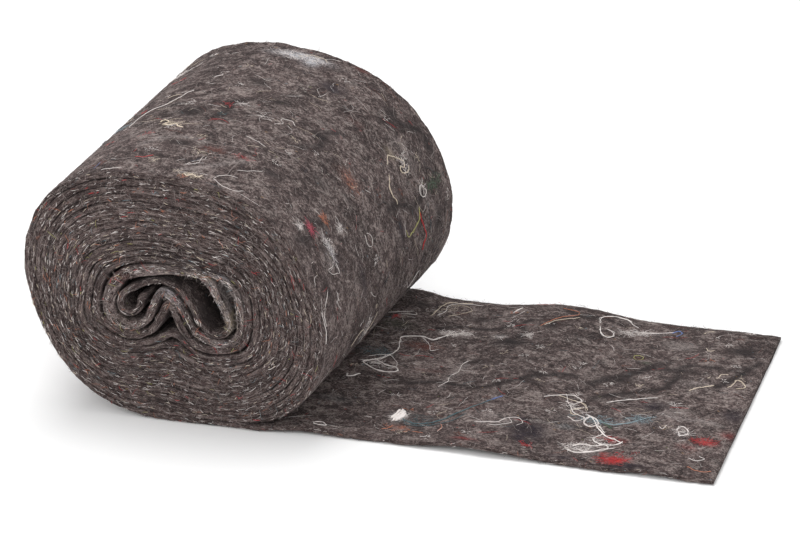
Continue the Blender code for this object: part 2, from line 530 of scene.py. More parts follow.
def lay(colour, radius, waypoints, lift, wander, seed):
    """A thread that lies on the felt through the (s, y) waypoints."""
    path = np.vstack([spline(waypoints, 7), waypoints[-1]])
    k = np.arange(len(path)) * 1.0
    aside = [wobble(k, k * 0 + seed + shift, k * 0, 5.0, 2) for shift in (0, 60)]
    path = path + wander * np.stack(aside, -1)
    rise = lift + 0.22 * wobble(k, k * 0 + seed + 7, k * 0 + radius * 100, 6.0, 1)
    strands[colour].append((on_strip(path[:, 0], path[:, 1], rise), radius))


def wandering(colour, radius, s, y, heading, length, bend, lift, step):
    """A thread from (s, y) whose heading drifts as it goes."""
    n = max(4, int(length / step))
    turn = np.cumsum(rng.normal(0, bend, n))
    turn = np.convolve(turn, np.ones(3) / 3, "same")
    h = heading + turn
    path = np.stack([s + np.cumsum(np.cos(h)) * step, y + np.cumsum(np.sin(h)) * step], -1)
    rise = lift + 0.16 * np.sin(np.linspace(0, rng.uniform(3, 9), n) + rng.uniform(0, 6))
    first, last = path[:, 0].min(), path[:, 0].max()
    off_the_felt = last > S_END - 1.0 or first < COVER_START or np.abs(path[:, 1]).max() >= HALF_WIDTH - 0.5
    if not off_the_felt and not first < 0 < last:
        strands[colour].append((on_strip(path[:, 0], path[:, 1], rise), radius))


def tuft(colour, s, y, reach_s, reach_y, count, radius=0.07, lift=0.05, length=(2.5, 6.0), bend=0.35):
    """Many short fibres lying together."""
    for _ in range(count):
        a, r = rng.uniform(0, 2 * math.pi), math.sqrt(rng.uniform())
        wandering(
            colour, radius, s + reach_s * r * math.cos(a), y + reach_y * r * math.sin(a),
            rng.uniform(0, 2 * math.pi), rng.uniform(*length), bend, lift + rng.uniform(0, 0.35), 0.6,
        )  # fmt: skip


# ---------------------------------------------------------------- materials


class Graph:
    """A short way to write a material's nodes."""

    def __init__(self, name):
        self.material = bpy.data.materials.new(name)
        self.material.use_nodes = True
        self.tree = self.material.node_tree
        self.tree.nodes.clear()
        self.out = self.tree.nodes.new("ShaderNodeOutputMaterial")
        self.shader = self.tree.nodes.new("ShaderNodeBsdfPrincipled")
        self.tree.links.new(self.shader.outputs["BSDF"], self.out.inputs["Surface"])

    def feed(self, value, socket):
        if isinstance(value, bpy.types.NodeSocket):
            self.tree.links.new(value, socket)
        else:
            socket.default_value = value

    def math(self, operation, a, b=0.0, clamp=False):
        node = self.tree.nodes.new("ShaderNodeMath")
        node.operation, node.use_clamp = operation, clamp
        self.feed(a, node.inputs[0])
        self.feed(b, node.inputs[1])
        return node.outputs[0]

    def times(self, a, b):
        return self.math("MULTIPLY", a, b)

    def plus(self, a, b):
        return self.math("ADD", a, b)

    def minus(self, a, b):
        return self.math("SUBTRACT", a, b)

    def off_middle(self, value, factor):
        """The value's distance from a half, times the factor."""
        return self.times(self.minus(value, 0.5), factor)

    def ranged(self, value, low, high, to_low=0.0, to_high=1.0):
        node = self.tree.nodes.new("ShaderNodeMapRange")
        node.interpolation_type = "SMOOTHSTEP"
        for socket, v in zip(node.inputs, (value, low, high, to_low, to_high)):
            self.feed(v, socket)
        return node.outputs[0]

    def mix(self, factor, a, b, blend="MIX"):
        node = self.tree.nodes.new("ShaderNodeMix")
        node.data_type, node.blend_type = "RGBA", blend
        self.feed(factor, node.inputs["Factor"])
        self.feed(a, node.inputs[6])
        self.feed(b, node.inputs[7])
        return node.outputs[2]

    def uv(self, name):
        node = self.tree.nodes.new("ShaderNodeUVMap")
        node.uv_map = name
        return node.outputs[0]

    def split(self, vector):
        node = self.tree.nodes.new("ShaderNodeSeparateXYZ")
        self.feed(vector, node.inputs[0])
        return node.outputs

    def joined(self, x, y, z):
        node = self.tree.nodes.new("ShaderNodeCombineXYZ")
        for socket, v in zip(node.inputs, (x, y, z)):
            self.feed(v, socket)
        return node.outputs[0]

    def mapped(self, vector, degrees, scale, shift=(0, 0, 0)):
        turned = self.tree.nodes.new("ShaderNodeMapping")
        turned.vector_type = "POINT"
        self.feed(vector, turned.inputs["Vector"])
        turned.inputs["Rotation"].default_value = (0, 0, math.radians(degrees))
        turned.inputs["Location"].default_value = shift
        stretched = self.tree.nodes.new("ShaderNodeMapping")
        self.feed(turned.outputs[0], stretched.inputs["Vector"])
        stretched.inputs["Scale"].default_value = scale
        return stretched.outputs[0]

    def noise(self, vector, scale, detail=2.0, rough=0.55, distortion=0.0):
        node = self.tree.nodes.new("ShaderNodeTexNoise")
        self.feed(vector, node.inputs["Vector"])
        node.inputs["Scale"].default_value = scale
        node.inputs["Detail"].default_value = detail
        node.inputs["Roughness"].default_value = rough
        node.inputs["Distortion"].default_value = distortion
        return node.outputs["Fac"]

    def ramp(self, value, stops, interpolation="LINEAR"):
        node = self.tree.nodes.new("ShaderNodeValToRGB")
        node.color_ramp.interpolation = interpolation
        elements = node.color_ramp.elements
        while len(elements) < len(stops):
            elements.new(0.5)
        for element, (at, colour) in zip(elements, stops):
            element.position, element.color = at, (*colour, 1.0)
        self.feed(value, node.inputs[0])
        return node.outputs["Color"]


# The felt's own tones, from dark to pale, and the colours of its flecks, as (place, linear colour) stops.
FELT_TONES = (
    (0.0, (0.017, 0.0112, 0.0112)), (0.30, (0.051, 0.0362, 0.0350)), (0.60, (0.098, 0.0725, 0.0700)),
    (0.85, (0.165, 0.129, 0.123)), (1.0, (0.27, 0.222, 0.208)),
)  # fmt: skip
FLECK_COLOURS = (
    (0.0, (0.34, 0.31, 0.28)), (0.30, (0.022, 0.018, 0.03)), (0.52, (0.24, 0.045, 0.04)),
    (0.64, (0.10, 0.17, 0.20)), (0.74, (0.28, 0.17, 0.08)), (0.84, (0.40, 0.37, 0.33)),
    (0.94, (0.13, 0.15, 0.05)),
)  # fmt: skip


def felt_material():
    g = Graph("felt")
    s, y, _ = g.split(g.uv("strip"))
    deep, _, _ = g.split(g.uv("depth"))
    space = g.joined(s, y, g.times(deep, 5.0))
    blotch = g.noise(space, 24.0, 3.0, 0.55, 1.0)
    mottle = g.noise(space, 115.0, 4.0, 0.62, 1.4)
    smudge = g.noise(g.mapped(space, 25, (1.0, 1.35, 1.0), (3, 5, 0)), 62.0, 3.0, 0.55, 1.2)
    wisp = None
    for angle, scale in ((8, 110.0), (-62, 135.0), (48, 120.0)):
        stretched = g.mapped(space, angle, (scale, scale * 5.0, scale * 5.0), (angle, 0, 0))
        one = g.noise(stretched, 1.0, 3.0, 0.62, 0.9)
        wisp = one if wisp is None else g.math("MAXIMUM", wisp, one)
    grain = g.noise(space, 850.0, 3.0, 0.75)
    tone = g.plus(g.off_middle(blotch, 1.1), g.off_middle(mottle, 1.5))
    tone = g.plus(tone, g.times(g.minus(wisp, 0.59), 2.4))
    tone = g.plus(tone, g.off_middle(grain, 2.9))
    tone = g.math("ADD", tone, 0.50, clamp=True)
    colour = g.ramp(tone, FELT_TONES)
    colour = g.mix(1.0, colour, (1.0, 0.965, 0.955, 1.0), "MULTIPLY")
    smudged = g.times(g.ranged(smudge, 0.43, 0.31), 0.62)
    colour = g.mix(smudged, colour, (0.020, 0.0135, 0.0145, 1.0))
    # single fibres, as thin wandering lines
    hairs = None
    for angle, scale, width in ((20, 40.0, 0.040), (-35, 52.0, 0.042), (78, 46.0, 0.040), (-80, 60.0, 0.038)):
        stretched = g.mapped(space, angle, (scale, scale * 4.0, scale * 4.0), (0, angle, 0))
        one = g.noise(stretched, 1.0, 2.0, 0.55, 2.2)
        line = g.ranged(g.math("ABSOLUTE", g.minus(one, 0.5)), 0.0, width, 1.0, 0.0)
        hairs = line if hairs is None else g.math("MAXIMUM", hairs, line)
    patchy = g.ranged(g.plus(g.times(mottle, 0.6), g.times(grain, 0.4)), 0.47, 0.62)
    colour = g.mix(g.times(g.times(hairs, patchy), 0.70), colour, (0.33, 0.285, 0.265, 1.0))
    # flecks of other colours
    cells = g.tree.nodes.new("ShaderNodeTexVoronoi")
    g.feed(g.mapped(space, 33, (1.0, 1.9, 1.0)), cells.inputs["Vector"])
    cells.inputs["Scale"].default_value = 240.0
    pick, hue, _ = g.split(cells.outputs["Color"])
    frayed = g.plus(cells.outputs["Distance"], g.off_middle(grain, 0.5))
    near = g.ranged(frayed, 0.10, 0.26, 1.0, 0.0)
    fleck = g.times(near, g.ranged(pick, 0.86, 0.90))
    colour = g.mix(g.times(fleck, 0.72), colour, g.ramp(hue, FLECK_COLOURS, "CONSTANT"))
    # the cut edges: short fibre ends that run along the layer, with painted shade in the furrows between them
    rim = g.ranged(g.math("ABSOLUTE", y), 0.0984, 0.0998)
    along = g.joined(g.times(s, 210.0), g.times(y, 500.0), g.times(deep, 1500.0))
    ends = g.noise(along, 1.0, 3.0, 0.72, 0.8)
    layers = g.noise(g.mapped(along, 0, (0.18, 0.3, 0.42), (7, 3, 1)), 1.0, 2.0, 0.6, 0.2)
    # the stains of MARKS, and the painted shade and pale smears along the creases
    mark = g.tree.nodes.new("ShaderNodeVertexColor")
    mark.layer_name = "stain_and_shade"
    broken = g.ranged(g.plus(wisp, g.off_middle(grain, 0.8)), 0.46, 0.64, 0.30, 1.0)
    broken = g.times(broken, g.ranged(g.plus(ends, g.minus(1.0, rim)), 0.38, 0.58, 0.15, 1.0))
    colour = g.mix(g.times(mark.outputs["Alpha"], broken), colour, mark.outputs["Color"])
    streak = g.ranged(ends, 0.565, 0.66)
    furrow_shade = g.ranged(g.plus(g.times(ends, 0.65), g.times(layers, 0.35)), 0.49, 0.37)
    face = g.mix(1.0, colour, (1.02, 0.97, 0.965, 1.0), "MULTIPLY")
    furrow_shade = g.times(furrow_shade, g.ranged(s, -0.002, 0.002, 0.85, 0.30))  # painted shade weaker on the loose end
    # painted shade: the dark colour laid into the furrows between the fibre ends
    face = g.mix(furrow_shade, face, (0.013, 0.0090, 0.0092, 1.0))
    face = g.mix(g.times(streak, 0.75), face, (0.36, 0.305, 0.285, 1.0))
    colour = g.mix(rim, colour, face)
    g.feed(colour, g.shader.inputs["Base Color"])
    height = g.plus(g.times(wisp, 1.2), g.times(mottle, 0.8))
    height = g.plus(height, g.times(grain, 0.45))
    height = g.plus(height, g.times(hairs, 0.25))
    height = g.plus(height, g.times(g.times(ends, rim), 1.2))
    bump = g.tree.nodes.new("ShaderNodeBump")
    bump.inputs["Strength"].default_value = 0.85
    bump.inputs["Distance"].default_value = 0.0009
    g.feed(height, bump.inputs["Height"])
    g.feed(bump.outputs[0], g.shader.inputs["Normal"])
    g.shader.inputs["Roughness"].default_value = 0.92
    g.shader.inputs["Specular IOR Level"].default_value = 0.12
    g.shader.inputs["Sheen Weight"].default_value = 0.07
    g.shader.inputs["Sheen Roughness"].default_value = 0.6
    g.shader.inputs["Sheen Tint"].default_value = (0.9, 0.80, 0.78, 1.0)
    return g.material


def plain_material(name, colour, roughness=0.8, sheen=0.2):
    g = Graph(name)
    g.shader.inputs["Base Color"].default_value = (*colour, 1.0)
    g.shader.inputs["Roughness"].default_value = roughness
    g.shader.inputs["Specular IOR Level"].default_value = 0.2
    g.shader.inputs["Sheen Weight"].default_value = sheen
    return g.material


# ---------------------------------------------------------------- the camera, the floor and the light

CAMERA_PLACE = (0.4883, -1.3399, 0.5555)  # metres
CAMERA_YAW, CAMERA_PITCH, CAMERA_ROLL = 16.86, 19.78, -0.10  # degrees
LENS = 135.0
FLOOR_REACH = 30.0  # metres
FLOOR_GAP = 0.0004


def camera():
    data = bpy.data.cameras.new("camera")
    data.lens = LENS
    data.sensor_width = 36.0
    data.sensor_fit = "HORIZONTAL"
    data.clip_end = 100.0
    obj = bpy.data.objects.new("camera", data)
    obj.location = CAMERA_PLACE
    turn = Euler((math.radians(90 - CAMERA_PITCH), 0, math.radians(CAMERA_YAW)), "XYZ").to_matrix()
    roll = Euler((0, 0, math.radians(-CAMERA_ROLL)), "XYZ").to_matrix()
    obj.rotation_euler = (turn @ roll).to_euler()
    bpy.context.scene.collection.objects.link(obj)
    bpy.context.scene.camera = obj


def soft_light(name, location, target, size, power):
    data = bpy.data.lights.new(name, "AREA")
    data.shape = "DISK"
    data.size = size
    data.energy = power
    obj = bpy.data.objects.new(name, data)
    obj.location = location
    obj.rotation_euler = (Vector(target) - Vector(location)).to_track_quat("-Z", "Y").to_euler()
    bpy.context.scene.collection.objects.link(obj)


def studio():
    """A plain pale floor just under the part, a white world and three soft lights, all in metres."""
    square = ((-1, -1), (1, -1), (1, 1), (-1, 1))
    corners = [(x * FLOOR_REACH, y * FLOOR_REACH, -FLOOR_GAP) for x, y in square]
    data = bpy.data.meshes.new("studio_floor")
    data.from_pydata(corners, [], [(0, 1, 2, 3)])
    floor = bpy.data.objects.new("studio_floor", data)
    bpy.context.scene.collection.objects.link(floor)
    data.materials.append(plain_material("studio_white", (0.93, 0.93, 0.93), 0.9, 0.0))
    world = bpy.data.worlds.new("world")
    bpy.context.scene.world = world
    world.use_nodes = True
    world.node_tree.nodes["Background"].inputs["Color"].default_value = (1.0, 1.0, 1.0, 1.0)
    world.node_tree.nodes["Background"].inputs["Strength"].default_value = 0.62
    centre = (0.08, 0.0, 0.05)
    soft_light("above", (-0.30, 0.45, 1.9), centre, 1.4, 22.5)
    soft_light("front", (0.9, -1.7, 0.8), centre, 1.3, 13.0)
    soft_light("left", (-1.3, -1.1, 0.8), centre, 1.2, 11.0)
    scene = bpy.context.scene
    scene.view_settings.view_transform = "Standard"
    scene.view_settings.look = "None"
    scene.view_settings.exposure = 0.0


camera()
studio()

# ---------------------------------------------------------------- the pieces

FINE_SPACING = 1.6  # between the vertices along the outermost turn and the loose end
SHOWN_ROWS, HIDDEN_ROWS = 118, 10  # of vertices across the face that shows, and across the other
TWO_PLY_RADIUS = 0.2  # threads this thick have two plies

# Where the photo shows a mark, some places in MARKS, THREADS and TUFTS are a separate script's numbers,
# worked out from points picked by eye on the photo. The other places were set one by one.

# Stains in the cloth, and dark and navy marks on the creases that paint shade there: s, y, reach along s,
# reach along y, colour, strength.
MARKS = (
    # on the roll
    (-237, -14, 7, 4, "dark", 0.7), (-249, -56, 7, 4, "dark", 0.65), (-205, -22, 4, 3, "sky", 0.5),
    (-258, 6, 3, 2.5, "pale", 0.5), (-263, 87, 15, 5, "frost", 1.2), (-270, 84, 5, 8, "frost", 0.8),
    (-268, -56, 8, 4, "rust", 0.55), (-253, 2, 7, 2, "red", 0.2), (-283, -57, 5, 3, "red", 0.2),
    (-328, -10, 9, 7, "orange", 0.26), (-331, -72, 2.4, 2.6, "red", 0.95),
    (-332, -56, 2.0, 2.4, "orange", 0.9), (-326, -80, 2, 3, "white", 0.8), (-341, -46, 2, 4, "white", 0.7),
    (-345, -66, 9, 2.6, "frost", 0.55), (-349, -72, 6, 3, "pale", 0.5), (-360, 78, 3, 14, "green", 0.6),
    (-362, 64, 5, 5, "pale", 0.35), (-241, -11, 6, 9, "dark", 0.75), (-343, 90, 8, 5, "dark", 0.7),
    (-319, 74, 6, 7, "dark", 0.7), (-303, 2, 7, 5, "dark", 0.7), (-293, 97, 5, 3, "rust", 0.8),
    (-288, 60, 9, 7, "navy", 0.6), (-257, 40, 7, 8, "dark", 0.55), (-225, -45, 8, 8, "pale", 0.25),
    (-243, -55, 10, 5, "pale", 0.22), (-310, 40, 6, 4, "rust", 0.4), (-366, 20, 8, 5, "navy", 0.55),
    (-378, 75, 8, 6, "dark", 0.6), (-371, -40, 12, 4, "navy", 0.5), (-337, 60, 12, 6, "pale", 0.28),
    (-333, 45, 5, 4, "cream", 0.3), (-300, -60, 7, 5, "dark", 0.5), (-360, -84, 8, 4, "dark", 0.55),
    (-318, -35, 8, 5, "dark", 0.5), (-275, 20, 6, 4, "dark", 0.6),
    # on the inner turns' front edge, counted from the inner end
    (S_START + 118, -99, 18, 8, "pale", 0.75), (S_START + 104, -99, 7, 6, "cream", 0.7),
    (S_START + 128, -99, 7, 7, "cream", 0.75), (S_START + 113, -97, 8, 8, "frost", 0.45),
    (S_START + 150, -100, 20, 4, "pale", 0.45), (S_START + 190, -99, 24, 7, "pale", 0.28),
    (S_START + 242, -100, 8, 3, "frost", 0.75), (S_START + 275, -100, 12, 3, "pale", 0.45),
    (S_START + 306, -99, 9, 6, "pale", 0.5), (S_START + 321, -98, 5, 6, "frost", 0.75),
    (S_START + 203, -98, 9, 8, "green", 0.3), (S_START + 172, -99, 5, 5, "rust", 0.55),
    (S_START + 50, -98, 10, 8, "dark", 0.5), (S_START + 80, -96, 12, 9, "dark", 0.5),
    (S_START + 345, -98, 14, 7, "dark", 0.5), (S_START + 260, -98, 8, 6, "dark", 0.5),
    (S_START + 385, -99, 14, 6, "dark", 0.4), (S_START + 560, -99, 22, 6, "dark", 0.5),
    # round its left side and under it, and where nothing shows from the front
    (-180, 30, 9, 7, "pale", 0.5), (-150, -60, 8, 5, "red", 0.4), (-140, 70, 7, 6, "dark", 0.7),
    (-120, 0, 10, 6, "navy", 0.55), (-95, -35, 8, 7, "pale", 0.4), (-200, -75, 6, 6, "dark", 0.6),
    (-60, 50, 10, 6, "rust", 0.45), (-400, -30, 10, 6, "pale", 0.35), (-410, 50, 8, 8, "dark", 0.6),
    (-165, 88, 9, 5, "sky", 0.3), (-108, 84, 7, 4, "orange", 0.35), (-190, -8, 7, 9, "green", 0.35),
    # on the loose end
    (31, 46, 12, 8, "green", 0.40), (33, 6, 12, 7, "teal", 0.30), (52, 23, 10, 5, "rust", 0.60),
    (62, -8, 10, 2.5, "rust", 0.5), (178, 61, 9, 6, "pale", 0.6), (166, 34, 3, 2, "green", 0.8),
    (177, -91, 7, 5.5, "red", 0.9), (170, -84, 4, 3, "red", 0.35), (213, -57, 5.5, 3.6, "red", 0.75),
    (222, -45, 5, 5, "red", 0.22), (206, -66, 6, 4, "red", 0.16), (173, -67, 5, 4, "red", 0.35),
    (105, -93, 6, 2.4, "red", 0.28), (134, -88, 2.4, 2, "red", 0.6), (70, -82, 6, 4, "orange", 0.3),
    (158, -46, 14, 6, "sky", 0.38), (178, -39, 9, 6, "sky", 0.40), (146, -58, 6, 4, "sky", 0.35),
    (76, -66, 9, 3, "teal", 0.5), (31, -59, 12, 5, "teal", 0.35), (131, -71, 10, 12, "navy", 0.85),
    (184, -97, 9, 4, "navy", 0.7), (182, 28, 11, 4, "dark", 0.75), (156, 8, 9, 6, "dark", 0.75),
    (181, -21, 8, 8, "navy", 0.6), (220, -21, 6, 9, "navy", 0.7), (210, 62, 8, 8, "dark", 0.7),
    (112, -14, 16, 3.5, "dark", 0.5), (96, 36, 9, 6, "dark", 0.65), (108, 64, 6, 8, "dark", 0.7),
    (122, -2, 14, 2.6, "dark", 0.75), (60, -24, 9, 5, "dark", 0.45), (35, 78, 7, 6, "dark", 0.5),
    (152, -95, 8, 4, "navy", 0.5), (84, 8, 8, 5, "dark", 0.5), (70, 68, 10, 5, "dark", 0.45),
    (128, 84, 9, 4, "dark", 0.6), (200, 36, 7, 3, "dark", 0.7), (164, -10, 9, 3, "dark", 0.6),
    (98, -52, 7, 5, "rust", 0.35), (87, 44, 4, 3, "white", 0.6), (101, 47, 2.5, 2, "white", 0.7),
    (63, 45, 10, 4, "pale", 0.7), (147, 71, 7, 4, "pale", 0.6), (158, 75, 9, 3, "pale", 0.6),
    (66.5, -69, 4, 6, "white", 1.2), (161, -82, 9, 7, "pale", 0.6), (78, 0, 4, 12, "pale", 0.35),
    (190, -28, 11, 7, "pale", 0.28), (200, -50, 7, 5, "pale", 0.35), (196, 12, 12, 6, "pale", 0.25),
    (145, 88, 8, 3, "pale", 0.4), (110, -60, 8, 5, "pale", 0.3), (148, -48, 12, 9, "pale", 0.25),
)  # fmt: skip
# Stain colours, and the dark and navy that paint shade along the creases, linear.
CLOTH_TINTS = {
    "pale": (0.37, 0.325, 0.312), "frost": (0.50, 0.50, 0.53), "white": (0.70, 0.65, 0.63),
    "cream": (0.40, 0.33, 0.22), "dark": (0.011, 0.0080, 0.0090), "navy": (0.014, 0.0095, 0.017),
    "rust": (0.115, 0.034, 0.028), "red": (0.50, 0.022, 0.022), "orange": (0.40, 0.15, 0.105),
    "green": (0.040, 0.062, 0.038), "teal": (0.060, 0.082, 0.086), "sky": (0.150, 0.190, 0.205),
}  # fmt: skip

# Painted shade along creases (the dark and navy rows) and pale smears along a line: colour, width, strength,
# (s, y) waypoints.
CREASE_SHADE_AND_SMEARS = (
    ("dark", 3.0, 0.80, ((96, -27), (104, -20), (112, -12), (120, -5), (130, 2), (137, 3))),
    ("dark", 3.2, 0.85, ((145, -2), (153, 8), (162, 18), (168, 27), (173, 36))),
    ("dark", 2.8, 0.70, ((60, -26), (72, -22), (84, -24), (96, -27))),
    ("dark", 3.0, 0.75, ((206, 12), (212, 26), (216, 40), (222, 52))),
    ("dark", 2.6, 0.70, ((97, 40), (98, 52), (94, 62), (98, 70))),
    ("dark", 2.6, 0.7, ((182, 6), (185, 18), (183, 30), (190, 38))),
    ("navy", 3.2, 0.80, ((126, -60), (130, -70), (128, -80), (134, -86))),
    ("dark", 2.8, 0.7, ((150, -20), (160, -10), (172, -4), (184, 4))),
    ("dark", 2.8, 0.65, ((14, 20), (20, 36), (17, 52), (22, 70))),
    ("dark", 3.0, 0.6, ((52, 50), (64, 56), (78, 54), (90, 60))),
    ("pale", 2.6, 0.45, ((76, -28), (77, -14), (79, -2), (81, 12))),
    ("pale", 3.0, 0.40, ((108, -70), (118, -66), (126, -60), (138, -58))),
    ("pale", 2.6, 0.45, ((186, -30), (196, -34), (208, -32), (218, -36))),
    ("dark", 2.8, 0.6, ((112, 88), (122, 80), (134, 84), (146, 80))),
    ("dark", 3.0, 0.70, ((-352, 14), (-356, 30), (-362, 44), (-360, 60))),
    ("dark", 3.0, 0.60, ((-318, 60), (-322, 72), (-330, 80), (-336, 92))),
    ("dark", 3.0, 0.60, ((-250, -20), (-256, -8), (-254, 6), (-262, 16))),
    ("dark", 3.0, 0.55, ((-300, -20), (-306, -6), (-304, 10), (-310, 20))),
    ("pale", 2.8, 0.40, ((-232, -62), (-240, -52), (-250, -48), (-262, -50))),
    ("pale", 2.6, 0.40, ((-262, -90), (-272, -78), (-280, -66), (-286, -60))),
    ("dark", 3.0, 0.60, ((-330, -90), (-334, -78), (-330, -66), (-336, -56))),
    ("dark", 3.2, 0.60, ((-160, -20), (-150, 0), (-156, 20), (-144, 36))),
    ("dark", 3.2, 0.60, ((-90, 10), (-84, 30), (-92, 48), (-82, 64))),
    ("pale", 3.0, 0.40, ((-130, -70), (-118, -62), (-104, -66), (-92, -58))),
)  # fmt: skip
marks = list(MARKS)
# each crease becomes a row of marks; the dark and navy ones paint shade along it
for colour_name, width, strength, waypoints in CREASE_SHADE_AND_SMEARS:
    for crease_s, crease_y in spline(waypoints, 8):
        marks.append((crease_s, crease_y, width, width, colour_name, strength))

